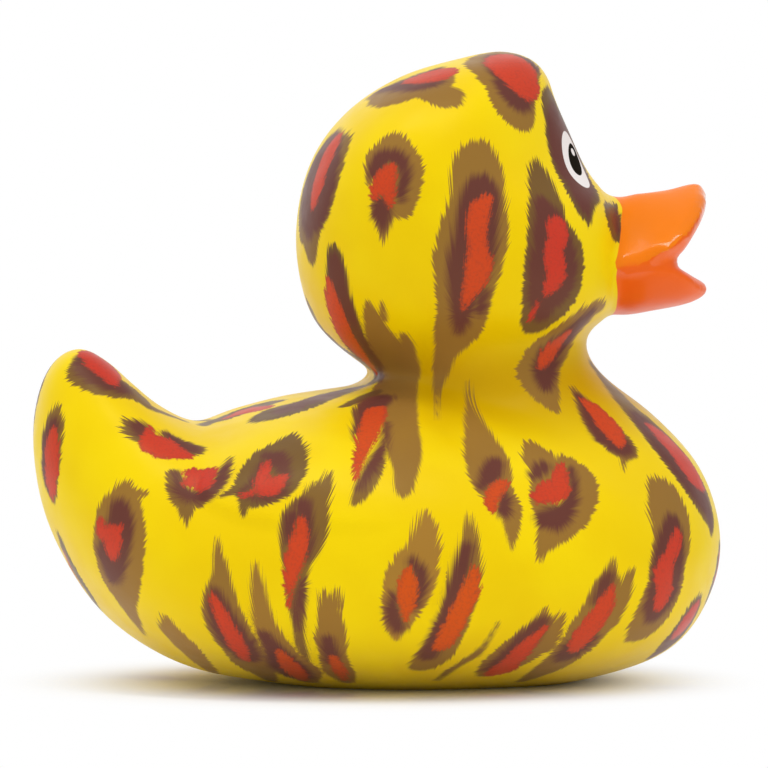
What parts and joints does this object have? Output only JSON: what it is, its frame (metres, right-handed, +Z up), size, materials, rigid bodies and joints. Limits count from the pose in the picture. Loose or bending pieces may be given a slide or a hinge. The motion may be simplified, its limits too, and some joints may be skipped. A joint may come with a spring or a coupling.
{
  "type": "rubber duck",
  "caption": "Hollow soft-vinyl bath duck with an upturned tail, round head, open bill and folded wings, printed with leopard spots, standing on a flat base.",
  "frame": {"origin": "middle of the duck's length and width, on the surface it stands on", "axes": "+X the way the duck faces, +Y to its left, +Z up"},
  "size_m": [0.0951, 0.077, 0.0869],
  "materials": {
    "vinyl": "satin-gloss soft vinyl, yellow with printed leopard spots, a painted orange bill and painted eyes"
  },
  "bodies": {
    "root": {"duck": "vinyl"}
  },
  "joints": []
}
